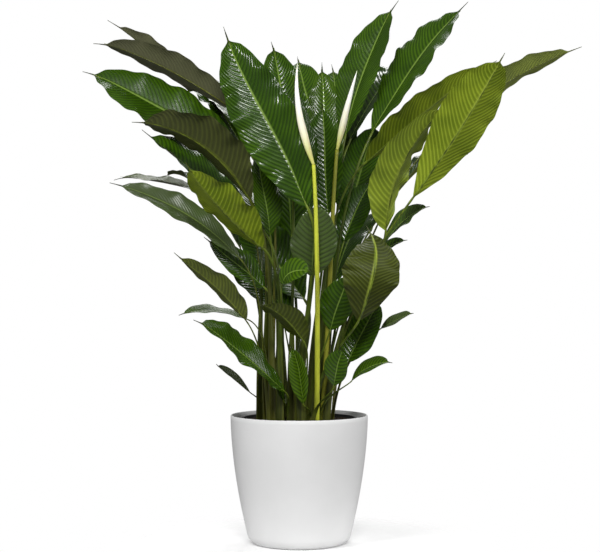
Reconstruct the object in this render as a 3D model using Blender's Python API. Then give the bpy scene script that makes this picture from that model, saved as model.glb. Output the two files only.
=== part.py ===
"""Potted peace lily: a glossy leaf clump with two furled white flowers, in a round tapered white pot.

Origin at the centre of the pot's underside, +Z up, the fullest side of the plant facing -Y. Metres.
"""
import math

import bmesh
import bpy
from mathutils import Vector
from mathutils.bvhtree import BVHTree

GAP = 0.0003                    # clear space between pieces that touch

# outer pot
POT_BASE_RADIUS = 0.0850        # flat ring the pot stands on
POT_RIM_RADIUS = 0.1350
POT_HEIGHT = 0.2516
POT_WALL = 0.0036
POT_FLOOR = 0.0060
POT_SIDES = 48

# thin black growing pot standing inside the outer pot
GROWER_BASE_RADIUS = 0.0800
GROWER_RIM_RADIUS = 0.1135
GROWER_TOP = 0.2465
GROWER_WALL = 0.0016
GROWER_LIP = 0.0090             # height of the lip around the top
GROWER_SIDES = 40

# root ball and potting soil
SOIL_TOP = 0.2400
CROWN_X = -0.0080               # the crown of the plant grows a little left of the pot's axis

# leaf build
SECTION_POINTS = 8              # points around a stalk or across a blade
STALK_STEPS = (0.0, 0.3, 0.6, 0.85)
BLADE_STEPS = (0.0, 0.045, 0.14, 0.26, 0.40, 0.54, 0.68, 0.81, 0.92, 1.0)
STALK_RADIUS = 0.0040           # at the foot of a leaf 100 mm wide
NECK_RADIUS = 0.0022
BLADE_THICKNESS = 0.0012
TIP_HALF_WIDTH = 0.0008
FOOT_SPREAD = 0.100             # stalks leave the soil inside this radius
FOOT_REACH = 0.100              # neck distance at which a foot is halfway out
CLEARANCE = 0.0006              # room kept around a leaf when it is set among the others
SHIFT_STEP = 0.008              # a leaf moves forward or back by this until it is clear
MOST_SHIFTS = 24

# blades seen from the full side: stalk end, middle and tip of the midrib, widest part of the blade,
# the way the upper side faces, fold along the midrib in degrees, and how far along it is widest
LEAVES = (
    ("leaf_front_tall", (0.016, -0.13, 0.654), (-0.066, -0.13, 0.828), (-0.148, -0.1, 1.002),
     0.12, (-0.25, -0.9, 0.35), 14, 0.46),
    ("leaf_right_bright", (0.216, -0.13, 0.674), (0.312, -0.18, 0.818), (0.374, -0.24, 0.932),
     0.105, (-0.3, 0.95, 0.2), 16, 0.5),
    ("leaf_round_mid", (0.112, -0.13, 0.44), (0.14, -0.19, 0.542), (0.132, -0.08, 0.61),
     0.11, (-0.1, 0.95, 0.3), 16, 0.45),
    ("leaf_left_bright", (-0.07, -0.12, 0.578), (-0.146, -0.2, 0.65), (-0.204, -0.27, 0.728),
     0.1, (0.45, 0.75, 0.5), 20, 0.45),
    ("leaf_left_folded", (-0.094, -0.07, 0.67), (-0.186, -0.15, 0.772), (-0.308, -0.21, 0.81),
     0.13, (0.45, 0.55, 0.75), 20, 0.5),
    ("leaf_left_long", (-0.114, -0.07, 0.558), (-0.228, -0.1, 0.65), (-0.36, -0.11, 0.702),
     0.066, (0.45, -0.65, 0.6), 16, 0.45),
    ("leaf_left_broad", (-0.132, -0.01, 0.792), (-0.282, -0.03, 0.858), (-0.42, -0.04, 0.928),
     0.116, (0.3, -0.8, 0.5), 14, 0.42),
    ("leaf_low_left", (-0.026, -0.09, 0.302), (-0.112, -0.16, 0.384), (-0.19, -0.23, 0.448),
     0.082, (0.5, -0.5, 0.65), 16, 0.45),
    ("leaf_top", (0.092, 0.03, 0.804), (0.13, 0.06, 0.936), (0.196, 0.09, 1.086),
     0.094, (-0.5, -0.75, 0.3), 22, 0.5),
    ("leaf_top_right", (0.144, 0.01, 0.808), (0.232, 0.05, 0.95), (0.344, 0.1, 1.08),
     0.1, (-0.57, -0.68, 0.45), 18, 0.5),
    ("leaf_right_olive", (0.13, -0.05, 0.746), (0.242, -0.09, 0.84), (0.37, -0.13, 0.936),
     0.088, (-0.5, 0.5, 0.65), 18, 0.42),
    ("leaf_right_pale", (0.166, -0.09, 0.612), (0.198, -0.14, 0.742), (0.282, -0.19, 0.85),
     0.105, (-0.6, 0.55, 0.4), 22, 0.42),
    ("leaf_far_right", (0.28, 0.03, 0.806), (0.412, 0.04, 0.91), (0.564, 0.04, 0.982),
     0.078, (-0.35, 0.5, 0.75), 18, 0.45),
    ("leaf_left_top", (-0.146, 0.05, 0.864), (-0.258, 0.09, 0.948), (-0.39, 0.13, 1.052),
     0.076, (0.45, 0.35, 0.8), 18, 0.45),
    ("leaf_left_curled", (-0.12, -0.02, 0.844), (-0.258, -0.04, 0.928), (-0.396, -0.06, 0.98),
     0.09, (0.42, 0.5, 0.75), 18, 0.45),
    ("leaf_left_narrow", (-0.084, -0.02, 0.628), (-0.194, -0.05, 0.718), (-0.302, -0.08, 0.806),
     0.11, (0.45, -0.4, 0.75), 20, 0.5),
    ("leaf_left_flat", (-0.146, 0.04, 0.68), (-0.266, 0.04, 0.71), (-0.37, 0.04, 0.724),
     0.055, (0.1, -0.25, 0.95), 16, 0.45),
    ("leaf_left_inner", (-0.068, -0.04, 0.502), (-0.122, -0.05, 0.548), (-0.184, -0.06, 0.602),
     0.07, (0.4, -0.7, 0.5), 16, 0.45),
    ("leaf_left_olive", (-0.102, -0.09, 0.44), (-0.16, -0.13, 0.506), (-0.234, -0.17, 0.566),
     0.068, (0.4, 0.5, 0.7), 20, 0.45),
    ("leaf_left_level", (-0.102, -0.01, 0.44), (-0.17, -0.03, 0.456), (-0.234, -0.05, 0.45),
     0.048, (0.1, -0.3, 0.95), 14, 0.45),
    ("leaf_left_slim", (-0.096, -0.05, 0.3), (-0.13, -0.07, 0.33), (-0.16, -0.09, 0.356),
     0.036, (0.5, -0.35, 0.75), 20, 0.45),
    ("leaf_left_small", (-0.03, -0.05, 0.284), (-0.054, -0.08, 0.33), (-0.082, -0.11, 0.35),
     0.045, (0.5, -0.5, 0.6), 16, 0.45),
    ("leaf_soil_shoot", (-0.044, 0.05, 0.254), (-0.04, 0.05, 0.272), (-0.012, 0.05, 0.284),
     0.03, (0.2, -0.8, 0.5), 24, 0.5),
    ("leaf_centre_bright", (-0.032, -0.15, 0.508), (-0.014, -0.17, 0.532), (0.026, -0.19, 0.534),
     0.055, (-0.3, -0.75, 0.5), 14, 0.5),
    ("leaf_centre_left", (-0.014, 0.04, 0.448), (-0.086, 0.04, 0.512), (-0.154, 0.03, 0.572),
     0.095, (0.4, -0.7, 0.55), 14, 0.45),
    ("leaf_centre_under", (0.008, -0.09, 0.402), (-0.028, -0.13, 0.446), (-0.072, -0.17, 0.476),
     0.075, (0.4, 0.6, 0.6), 16, 0.45),
    ("leaf_furled", (0.008, -0.08, 0.28), (0.0, -0.09, 0.342), (-0.018, -0.09, 0.392),
     0.036, (-0.2, -0.95, 0.1), 40, 0.45),
    ("leaf_behind_front", (-0.014, -0.04, 0.712), (-0.03, 0.01, 0.862), (-0.054, 0.06, 1.0),
     0.095, (0.2, -0.9, 0.3), 14, 0.45),
    ("leaf_back_left_tip", (0.052, 0.06, 0.678), (0.026, 0.14, 0.854), (-0.006, 0.23, 0.998),
     0.105, (0.1, -0.8, 0.45), 14, 0.45),
    ("leaf_centre_tip", (0.064, 0.02, 0.704), (0.05, 0.05, 0.832), (0.044, 0.08, 0.96),
     0.075, (0, -0.9, 0.3), 14, 0.45),
    ("leaf_back_right_tip", (0.078, 0.09, 0.698), (0.074, 0.18, 0.846), (0.072, 0.28, 0.984),
     0.095, (0, -0.8, 0.5), 14, 0.45),
    ("leaf_upright_left", (0.022, -0.07, 0.648), (0.004, -0.09, 0.774), (-0.006, -0.1, 0.89),
     0.08, (0.75, -0.55, 0.2), 14, 0.45),
    ("leaf_upright_right", (0.056, -0.03, 0.644), (0.05, -0.03, 0.76), (0.044, -0.02, 0.866),
     0.08, (-0.3, -0.9, 0.2), 14, 0.45),
    ("leaf_right_dark", (0.164, -0.04, 0.588), (0.21, -0.05, 0.638), (0.252, -0.06, 0.66),
     0.055, (-0.4, -0.45, 0.8), 16, 0.45),
    ("leaf_right_inner", (0.138, -0.02, 0.548), (0.174, -0.02, 0.58), (0.212, -0.02, 0.596),
     0.05, (-0.4, -0.4, 0.8), 16, 0.45),
    ("leaf_low_right_dark", (0.094, -0.04, 0.356), (0.124, -0.03, 0.416), (0.162, -0.01, 0.482),
     0.076, (-0.4, -0.8, 0.4), 14, 0.45),
    ("leaf_right_stub", (0.16, -0.02, 0.422), (0.192, -0.03, 0.44), (0.222, -0.04, 0.454),
     0.04, (-0.2, -0.45, 0.85), 16, 0.45),
    ("leaf_low_right", (0.102, -0.05, 0.322), (0.136, -0.07, 0.35), (0.178, -0.09, 0.362),
     0.05, (-0.3, -0.45, 0.85), 14, 0.45),
    ("leaf_low_upright", (0.066, -0.11, 0.316), (0.072, -0.13, 0.354), (0.084, -0.15, 0.39),
     0.05, (-0.2, -0.9, 0.3), 14, 0.5),
    ("leaf_mid_right", (0.06, -0.05, 0.42), (0.078, -0.06, 0.478), (0.096, -0.07, 0.53),
     0.07, (-0.2, -0.9, 0.3), 14, 0.45),
    ("leaf_centre_ribbed", (0.024, -0.09, 0.524), (0.03, -0.11, 0.596), (0.036, -0.12, 0.67),
     0.088, (0.05, -0.92, 0.35), 12, 0.45),
    ("leaf_centre_dark", (0.01, -0.02, 0.478), (-0.064, -0.03, 0.576), (-0.136, -0.04, 0.668),
     0.11, (0.3, -0.8, 0.4), 14, 0.45),
    ("leaf_thin_upright", (-0.056, -0.05, 0.602), (-0.068, -0.06, 0.684), (-0.082, -0.06, 0.776),
     0.065, (0.55, -0.75, 0.3), 14, 0.45),
    ("leaf_shade_right", (0.094, 0.03, 0.64), (0.124, 0.08, 0.734), (0.16, 0.14, 0.85),
     0.095, (-0.2, -0.85, 0.4), 14, 0.45),
    ("leaf_shade_mid", (0.088, -0.01, 0.592), (0.114, 0.0, 0.658), (0.148, 0.02, 0.718),
     0.065, (-0.3, -0.8, 0.45), 14, 0.45),
    ("leaf_back_left", (-0.1, 0.1, 0.812), (-0.154, 0.17, 0.884), (-0.21, 0.25, 0.962),
     0.09, (0.5, -0.6, 0.6), 14, 0.45),
)

# arching leaves that fill the other side: bearing in degrees, reach, height of the stalk end, width
ARCHING_LEAVES = (
    (18, 0.36, 0.62, 0.095),
    (42, 0.33, 0.80, 0.100),
    (64, 0.37, 0.50, 0.090),
    (97, 0.30, 0.60, 0.105),
    (110, 0.37, 0.56, 0.095),
    (134, 0.35, 0.76, 0.100),
    (160, 0.30, 0.58, 0.090),
)

# flowers: foot, two points up the stem, stem top, middle and tip of the furled spathe, spathe diameter
FLOWERS = (
    ("1", (0.034, -0.050, SOIL_TOP), (0.036, -0.130, 0.480), (0.034, -0.150, 0.620),
     (0.027, -0.150, 0.733), (0.000, -0.152, 0.832), (-0.003, -0.155, 0.922), 0.0150),
    ("2", (0.045, -0.020, SOIL_TOP), (0.062, -0.060, 0.500), (0.062, -0.075, 0.660),
     (0.073, -0.075, 0.767), (0.090, -0.077, 0.840), (0.111, -0.080, 0.918), 0.0140),
)
STEM_RADIUS = 0.0042


def material(name, colour, roughness):
    finish = bpy.data.materials.new(name)
    finish.use_nodes = True
    shader = finish.node_tree.nodes["Principled BSDF"]
    shader.inputs["Base Color"].default_value = (*colour, 1.0)
    shader.inputs["Roughness"].default_value = roughness
    shader.inputs["Metallic"].default_value = 0.0
    return finish


def add_piece(name, shape, colour, roughness, smooth=True):
    bmesh.ops.recalc_face_normals(shape, faces=shape.faces)
    mesh = bpy.data.meshes.new(name)
    shape.to_mesh(mesh)
    shape.free()
    for face in mesh.polygons:
        face.use_smooth = smooth
    mesh.materials.append(material(name, colour, roughness))
    piece = bpy.data.objects.new(name, mesh)
    bpy.context.scene.collection.objects.link(piece)
    return piece


def turned(profile, sides):
    """Closed solid turned about Z from (radius, height) points; the first and last lie on the axis."""
    shape = bmesh.new()
    bottom = shape.verts.new((0.0, 0.0, profile[0][1]))
    top = shape.verts.new((0.0, 0.0, profile[-1][1]))
    rings = []
    for radius, height in profile[1:-1]:
        angles = [math.tau * i / sides for i in range(sides)]
        rings.append([shape.verts.new((radius * math.cos(a), radius * math.sin(a), height)) for a in angles])
    for i in range(sides):
        j = (i + 1) % sides
        shape.faces.new((bottom, rings[0][j], rings[0][i]))
        shape.faces.new((top, rings[-1][i], rings[-1][j]))
        for low, high in zip(rings, rings[1:]):
            shape.faces.new((low[i], low[j], high[j], high[i]))
    return shape


def pot_radius(height):
    """Outer radius of the pot: a gently bulging taper from the foot to the rim."""
    share = height / POT_HEIGHT
    foot = POT_BASE_RADIUS + 0.0125
    return foot + (POT_RIM_RADIUS - foot) * (1.0 - (1.0 - share) ** 1.75)


def pot_profile():
    corner = 0.012
    outer = [(0.0, 0.0), (POT_BASE_RADIUS, 0.0), (POT_BASE_RADIUS + 0.0065, 0.0022)]
    outer += [(POT_BASE_RADIUS + 0.0110, 0.0066)]
    heights = [corner + (POT_HEIGHT - 0.0016 - corner) * i / 8 for i in range(9)]
    outer += [(pot_radius(h), h) for h in heights]
    middle = pot_radius(POT_HEIGHT) - POT_WALL / 2
    rim = [(middle + 0.0006, POT_HEIGHT), (middle - 0.0006, POT_HEIGHT)]
    inner = [(pot_radius(h) - POT_WALL, h) for h in reversed(heights)]
    floor = [(POT_BASE_RADIUS + 0.0040, POT_FLOOR), (0.0, POT_FLOOR)]
    return outer + rim + inner + floor


def grower_radius(height):
    foot = POT_FLOOR + GAP
    straight = GROWER_RIM_RADIUS - 0.0025
    return GROWER_BASE_RADIUS + (straight - GROWER_BASE_RADIUS) * (height - foot) / (GROWER_TOP - foot)


def grower_profile():
    foot = POT_FLOOR + GAP
    lip = GROWER_TOP - GROWER_LIP
    floor = foot + GROWER_WALL
    return [
        (0.0, foot), (GROWER_BASE_RADIUS - 0.003, foot), (grower_radius(foot + 0.003), foot + 0.003),
        (grower_radius(lip), lip), (GROWER_RIM_RADIUS, lip + 0.001), (GROWER_RIM_RADIUS, GROWER_TOP - 0.001),
        (GROWER_RIM_RADIUS - 0.001, GROWER_TOP), (grower_radius(GROWER_TOP) - GROWER_WALL, GROWER_TOP),
        (grower_radius(floor) - GROWER_WALL, floor), (0.0, floor),
    ]


def soil_profile():
    foot = POT_FLOOR + GAP + GROWER_WALL + GAP
    inset = GROWER_WALL + GAP + 0.0002
    shoulder = SOIL_TOP - 0.003
    return [
        (0.0, foot), (grower_radius(foot) - inset, foot), (grower_radius(shoulder) - inset, shoulder),
        (grower_radius(SOIL_TOP) - inset - 0.003, SOIL_TOP), (0.0, SOIL_TOP),
    ]


def bezier(a, b, c, d, t):
    s = 1.0 - t
    return a * s ** 3 + b * (3 * s * s * t) + c * (3 * s * t * t) + d * t ** 3


def arc(start, middle, end, t):
    """Point on the smooth arc that passes through all three points."""
    pull = middle * 2 - (start + end) / 2
    s = 1.0 - t
    return start * s * s + pull * (2 * s * t) + end * t * t


def outline(t, widest):
    """Half width of a blade along its length, 1 at its widest, with a drawn-out tip."""
    even = t ** (math.log(0.5) / math.log(widest))
    body = math.sin(math.pi * min(max(even, 0.0), 1.0)) ** 0.82
    near_tip = min(max((t - 0.78) / 0.22, 0.0), 1.0)
    return body * (1.0 - 0.42 * near_tip * near_tip * (3 - 2 * near_tip))


def loft(rings):
    """Closed solid through rings that all have the same number of points."""
    shape = bmesh.new()
    rows = [[shape.verts.new(point) for point in ring] for ring in rings]
    count = len(rows[0])
    for low, high in zip(rows, rows[1:]):
        for i in range(count):
            j = (i + 1) % count
            shape.faces.new((low[i], low[j], high[j], high[i]))
    shape.faces.new(rows[0])
    shape.faces.new(rows[-1])
    bmesh.ops.triangulate(shape, faces=shape.faces)
    return shape


def round_section(centre, across, normal, radius):
    ring = []
    for i in range(SECTION_POINTS):
        angle = math.pi - math.tau * i / SECTION_POINTS
        ring.append(centre + across * (radius * math.cos(angle)) + normal * (radius * math.sin(angle)))
    return ring


def blade_section(centre, across, normal, half_width, half_thick, fold):
    """Left edge, three points over the top, right edge, three points back along the underside."""
    ring = []
    for share, side in ((-1, 0), (-0.5, 1), (0, 1), (0.5, 1), (1, 0), (0.5, -1), (0, -1.3), (-0.5, -1)):
        out = half_width * share
        lift = abs(out) * math.tan(fold)
        ring.append(centre + across * out + normal * (lift + side * half_thick))
    return ring


def leaf_rings(foot, bow, neck, middle, tip, width, facing, fold, widest, room=0.0):
    """Rings of one leaf: a round stalk from the soil to the neck, then a thin folded blade to the tip."""
    size = max(width / 0.100, 0.55)
    rise = (neck - foot).length
    start = (arc(neck, middle, tip, 0.02) - neck).normalized()
    lower = foot + Vector((0.0, 0.0, 0.42 * rise)) + (neck - foot) * 0.08 + bow
    upper = neck - start * (0.22 * rise)
    stalk = [bezier(foot, lower, upper, neck, t) for t in STALK_STEPS]
    spine = stalk + [arc(neck, middle, tip, t) for t in BLADE_STEPS]

    count = len(stalk)
    frames = [None] * len(spine)
    for i in range(count, len(spine)):
        ahead = spine[min(i + 1, len(spine) - 1)]
        along = (ahead - spine[i - 1 if i > count else i]).normalized()
        normal = (facing - along * facing.dot(along)).normalized()
        frames[i] = (along.cross(normal), normal)
    for i in range(count - 1, -1, -1):
        along = (spine[i + 1] - spine[max(i - 1, 0)]).normalized()
        if i == 0:
            along = Vector((0.0, 0.0, 1.0))
        normal = frames[i + 1][1]
        normal = (normal - along * normal.dot(along)).normalized()
        frames[i] = (along.cross(normal), normal)

    rings = []
    for i, t in enumerate(STALK_STEPS):
        radius = size * (STALK_RADIUS + (NECK_RADIUS - STALK_RADIUS) * t)
        rings.append(round_section(spine[i], *frames[i], radius + room))
    for i, t in enumerate(BLADE_STEPS, start=count):
        if t == 0.0:
            rings.append(round_section(spine[i], *frames[i], size * NECK_RADIUS + room))
            continue
        half_width = max(width / 2 * outline(t, widest), TIP_HALF_WIDTH)
        half_thick = BLADE_THICKNESS / 2 + size * 0.0011 * (1.0 - t) ** 3
        if t == 1.0:
            half_thick = TIP_HALF_WIDTH / 2
        rings.append(blade_section(spine[i], *frames[i], half_width + room, half_thick + room, fold))
    return rings


def foot_of(neck, turn, pull):
    """Where a stalk leaves the soil: the same bearing as its neck, drawn in towards the crown."""
    reach = math.hypot(neck.x, neck.y)
    radius = FOOT_SPREAD * reach / (reach + FOOT_REACH) * pull
    bearing = math.atan2(neck.y, neck.x) + turn
    return Vector((CROWN_X + radius * math.cos(bearing), radius * math.sin(bearing), SOIL_TOP + GAP))


def faces_of(shape, first):
    shape.verts.index_update()
    return [[vertex.index + first for vertex in face.verts] for face in shape.faces]


class Clump:
    """Everything set so far, so that the next stalk or blade can be kept clear of it."""

    def __init__(self):
        self.points = []
        self.faces = []
        self.tree = None

    def add(self, shape):
        self.faces += faces_of(shape, len(self.points))
        self.points += [vertex.co.copy() for vertex in shape.verts]
        self.tree = BVHTree.FromPolygons(self.points, self.faces)

    def touches(self, shape):
        other = BVHTree.FromPolygons([vertex.co.copy() for vertex in shape.verts], faces_of(shape, 0))
        return bool(self.tree.overlap(other))


def stalk_choices():
    """Foot turn, foot pull and sideways bow of a stalk, the straightest first."""
    turns = (0.0, 0.25, -0.25, 0.5, -0.5, 0.8, -0.8)
    choices = [(turn, pull, bow) for bow in (0.0, 0.03, -0.03) for pull in (1.0, 0.8, 1.2) for turn in turns]
    return sorted(choices, key=lambda c: abs(c[0]) + abs(c[1] - 1.0) + 12 * abs(c[2]))


def set_leaf(clump, name, neck, middle, tip, width, facing, fold, widest, colour):
    """Add a leaf, moved forward or back a little and its stalk shifted until it clears its neighbours."""
    shifts = [0.0]
    for step in range(1, MOST_SHIFTS + 1):
        shifts += [SHIFT_STEP * step, -SHIFT_STEP * step]
    for shift in shifts:
        move = Vector((0.0, shift, 0.0))
        for turn, pull, bow in stalk_choices():
            foot = foot_of(neck + move, turn, pull)
            sideways = Vector((-neck.y, neck.x, 0.0)).normalized() * bow
            shape_at = (foot, sideways, neck + move, middle + move, tip + move, width, facing, fold, widest)
            trial = loft(leaf_rings(*shape_at, room=CLEARANCE))
            clear = not clump.touches(trial)
            trial.free()
            if clear:
                shape = loft(leaf_rings(*shape_at))
                clump.add(shape)
                add_piece(name, shape, colour, 0.35)
                return
    raise RuntimeError(name + " has no clear place")


def flower_rings(points, radius, steps, start):
    """Round rings along a stem or a furled spathe; the first is square to the start direction."""
    rings = []
    for i, point in enumerate(points):
        along = (points[min(i + 1, len(points) - 1)] - points[max(i - 1, 0)]).normalized()
        if i == 0:
            along = start
        across = along.cross(Vector((0.0, 1.0, 0.0))).normalized()
        normal = across.cross(along).normalized()
        rings.append(round_section(point, across, normal, radius * steps[i]))
    return rings


def main():
    for thing in list(bpy.data.objects):
        bpy.data.objects.remove(thing, do_unlink=True)

    clump = Clump()
    for name, profile, sides, colour, roughness in (
        ("pot", pot_profile(), POT_SIDES, (0.82, 0.82, 0.81), 0.4),
        ("growing_pot", grower_profile(), GROWER_SIDES, (0.02, 0.02, 0.02), 0.5),
        ("soil", soil_profile(), GROWER_SIDES, (0.05, 0.03, 0.02), 0.95),
    ):
        shape = turned(profile, sides)
        if name != "soil":
            clump.add(shape)
        add_piece(name, shape, colour, roughness)

    for number, foot, low, high, top, middle, tip, diameter in FLOWERS:
        foot, low, high, top, middle, tip = (Vector(p) for p in (foot, low, high, top, middle, tip))
        foot.z += GAP
        stem = [bezier(foot, low, high, top, i / 9) for i in range(10)]
        taper = [1.25 - 0.45 * i / 9 for i in range(10)]
        shape = loft(flower_rings(stem, STEM_RADIUS, taper, Vector((0.0, 0.0, 1.0))))
        clump.add(shape)
        add_piece("flower_stem_" + number, shape, (0.42, 0.50, 0.08), 0.45)
        steps = (0.0, 0.1, 0.25, 0.42, 0.6, 0.78, 0.92, 1.0)
        stem_end = (top - stem[-2]).normalized()
        base = top + stem_end * GAP
        spathe = [arc(base, middle, tip, t) for t in steps]
        swell = (0.42, 0.74, 1.0, 1.0, 0.84, 0.56, 0.3, 0.07)
        shape = loft(flower_rings(spathe, diameter / 2, swell, stem_end))
        clump.add(shape)
        add_piece("spathe_" + number, shape, (0.85, 0.86, 0.76), 0.5)

    green = (0.045, 0.135, 0.012)
    for name, neck, middle, tip, width, facing, fold, widest in LEAVES:
        spots = (Vector(neck), Vector(middle), Vector(tip))
        set_leaf(clump, name, *spots, width, Vector(facing), math.radians(fold), widest, green)

    for number, (bearing, reach, height, width) in enumerate(ARCHING_LEAVES, start=1):
        angle = math.radians(bearing)
        out = Vector((math.cos(angle), math.sin(angle), 0.0))
        up = Vector((0.0, 0.0, 1.0))
        spots = (out * reach * 0.42 + up * height, out * reach * 0.74 + up * (height + 0.13))
        spots += (out * reach + up * (height + 0.15),)
        facing = up * 0.8 - out * 0.6
        name = "leaf_arching_" + str(number)
        set_leaf(clump, name, *spots, width, facing, math.radians(16), 0.45, green)


main()
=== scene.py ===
"""Potted peace lily: the looks of its leaves, flowers, soil and pots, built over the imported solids.

Metres, +Z up, the fullest side of the plant facing -Y.
"""

import math

import bmesh
import bpy
import numpy as np
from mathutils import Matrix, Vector


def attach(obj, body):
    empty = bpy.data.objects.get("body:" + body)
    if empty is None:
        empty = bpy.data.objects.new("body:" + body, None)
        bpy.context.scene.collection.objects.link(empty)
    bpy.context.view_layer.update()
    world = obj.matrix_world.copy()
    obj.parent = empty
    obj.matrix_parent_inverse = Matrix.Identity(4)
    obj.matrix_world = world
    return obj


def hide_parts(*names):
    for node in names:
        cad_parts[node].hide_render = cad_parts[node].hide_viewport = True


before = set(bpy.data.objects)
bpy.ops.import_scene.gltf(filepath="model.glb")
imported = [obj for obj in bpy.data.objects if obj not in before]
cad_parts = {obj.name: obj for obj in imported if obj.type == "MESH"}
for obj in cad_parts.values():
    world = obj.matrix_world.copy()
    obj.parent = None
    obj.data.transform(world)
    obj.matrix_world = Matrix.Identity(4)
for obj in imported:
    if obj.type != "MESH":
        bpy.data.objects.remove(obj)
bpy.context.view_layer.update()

SECTION_POINTS = 8              # points in each ring of a leaf, stem or spathe of the CAD

# blade shape
BLADE_RINGS = np.array((0.0, 0.045, 0.14, 0.26, 0.40, 0.54, 0.68, 0.81, 0.92, 1.0))  # along the midrib
VEIN_SPACING = 0.0100           # between side veins on a full-size blade
ROWS_PER_VEIN = 6
COLUMNS = 13                    # from the midrib to each margin
VEIN_SWEEP = 0.55               # how far a side vein runs forward before it meets the margin
VEIN_DEPTH = 0.0011
BLADE_THICKNESS = 0.0009
TAIL_START, TAIL_FREE = 0.87, 0.935     # the blade draws in to its drip tip between these
TAIL_HALF_WIDTH = 0.0016
WAVES_PER_METRE = (9, 15)       # ripples along a margin
WAVE_DEPTH = (0.04, 0.12)       # height of the ripples, against half the blade's width
NICK_DEPTH = (0.012, 0.03)      # in and out of a margin, against half the width
SIDE_UNEVEN = 0.04              # one side wider than the other, against half the width
TIP_DROOP = (-0.02, 0.05)       # against the blade's length
TIP_TWIST = 0.012

# stalk shape
STALK_SIDES = 10
STALK_ROWS = 36
RIB_ROWS = 30
SHEATH_WIDTH = 1.15             # how much wider than the stalk its sheath is at the foot

# flower shape
STEM_ROWS = 60
SPATHE_ROWS = 70
SPATHE_PLACES = (0.0, 0.05, 0.14, 0.28, 0.42, 0.6, 0.8, 0.93, 1.0)         # along a spathe
SPATHE_SWELL = (0.34, 0.46, 0.72, 0.92, 0.92, 0.70, 0.42, 0.22, 0.06)      # its radius at each place

# crumbs on the soil
CRUMBS_PER_SQUARE_METRE = 60000.0
CRUMB_SIZES = (0.0007, 0.0030)

# studio: name, place, what it points at, size, watts
SOFT_LIGHTS = (
    ("key", (-1.7, -2.0, 2.6), (0.0, 0.0, 0.6), (1.0, 1.0), 56.0),
    ("front", (0.3, -4.2, 0.8), (0.0, 0.0, 0.4), (2.4, 2.0), 16.0),
    ("left_side", (-2.6, -1.4, 0.9), (0.0, 0.0, 0.5), (1.0, 1.4), 14.0),
    ("right_side", (2.6, -1.6, 0.8), (0.0, 0.0, 0.5), (1.0, 1.4), 24.0),
)
GLOSS_LIGHTS = (
    ("front_top", (0.2, -2.7, 1.95), (0.0, 0.0, 0.8), (0.8, 0.35), 46.0),
    ("back_top", (0.3, 1.5, 2.6), (0.0, 0.0, 0.6), (1.4, 1.0), 34.0),
    ("right", (2.4, 0.2, 1.5), (0.0, 0.0, 0.7), (0.6, 1.2), 16.0),
)
CAMERA_PLACE = (0.0016, -3.13, 0.5247)
CAMERA_LENS = 95.4
SENSOR_WIDTH = 36.0
FILL = 0.14                     # light from all round
FLOOR_RADIUS = 3.0
FLOOR_LIFT = 0.14               # whitens the floor as seen, without lighting the plant
FLOOR_FADE = (0.17, 0.40)       # the floor melts into the background between these radii

# how yellow a leaf is and how much painted sunlight and light through the leaf its colour carries, 0 dark
# olive to 1 sunlit; leaves not named get a small share
SUNLIT = {
    "leaf_right_bright": 0.72, "leaf_left_bright": 1.0, "leaf_right_olive": 0.75, "leaf_right_pale": 1.0,
    "leaf_far_right": 0.8, "leaf_round_mid": 0.02, "leaf_left_folded": 0.12, "leaf_left_top": 0.10,
    "leaf_left_curled": 0.08, "leaf_centre_bright": 0.6, "leaf_furled": 0.95, "leaf_centre_tip": 0.6,
    "leaf_top": 0.25, "leaf_centre_under": 0.2, "leaf_left_olive": 0.35, "leaf_low_right": 0.5,
    "leaf_right_stub": 0.3, "leaf_low_upright": 0.35, "leaf_thin_upright": 0.45, "leaf_shade_mid": 0.1,
}

# painted sheen: a greyish reflection mixed into some leaves, 0 to 1
PAINTED_SHEEN = {
    "leaf_left_top": 0.85, "leaf_left_curled": 0.85, "leaf_far_right": 0.5, "leaf_left_flat": 0.7,
    "leaf_left_long": 0.4, "leaf_left_folded": 0.35, "leaf_left_olive": 0.25, "leaf_left_level": 0.25,
    "leaf_left_slim": 0.5, "leaf_right_stub": 0.4, "leaf_centre_ribbed": 0.35, "leaf_soil_shoot": 0.6,
    "leaf_right_pale": 0.15, "leaf_right_dark": 0.2,
}

# how deeply the side veins are pressed in, against VEIN_DEPTH
RIBBED = {
    "leaf_front_tall": 1.1, "leaf_behind_front": 1.3, "leaf_centre_ribbed": 1.4, "leaf_upright_left": 1.3,
    "leaf_upright_right": 1.3, "leaf_left_broad": 0.15, "leaf_low_left": 0.4, "leaf_left_narrow": 0.5,
}


def smooth_step(x):
    x = np.clip(x, 0.0, 1.0)
    return x * x * (3 - 2 * x)


# ---------------------------------------------------------------- reading the CAD solids

def rings_of(name):
    """A CAD solid's points as rings from its lowest end up."""
    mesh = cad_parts[name].data
    points = np.array([vertex.co for vertex in mesh.vertices], float)
    whole = np.round(points * 1e5).astype(int)
    _, keep, place = np.unique(whole, axis=0, return_index=True, return_inverse=True)
    place = place.reshape(-1)
    points = points[keep]
    beside = [set() for _ in points]
    for face in mesh.polygons:
        corners = [place[i] for i in face.vertices]
        for a in corners:
            beside[a].update(corners)
    ring = list(np.argsort(points[:, 2], kind="stable")[:SECTION_POINTS])
    rings, seen = [], set()
    while ring:
        rings.append(points[ring])
        seen.update(ring)
        ring = sorted({b for a in ring for b in beside[a]} - seen)
    return rings


def fitted(places, values, degree):
    """Smooth curve through points, as a function of the place along it."""
    terms = [np.polyfit(places, values[:, axis], degree) for axis in range(values.shape[1])]
    return lambda t: np.stack([np.polyval(term, t) for term in terms], axis=-1)


def unit(vectors):
    return vectors / np.maximum(np.linalg.norm(vectors, axis=-1, keepdims=True), 1e-12)


def outline(t, widest):
    """Half width of a blade along its length, 1 at its widest."""
    even = np.clip(t, 0.0, 1.0) ** (math.log(0.5) / math.log(widest))
    body = np.sin(math.pi * np.clip(even, 0.0, 1.0)) ** 0.82
    return body * (1.0 - 0.42 * smooth_step((t - 0.78) / 0.22))


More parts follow.
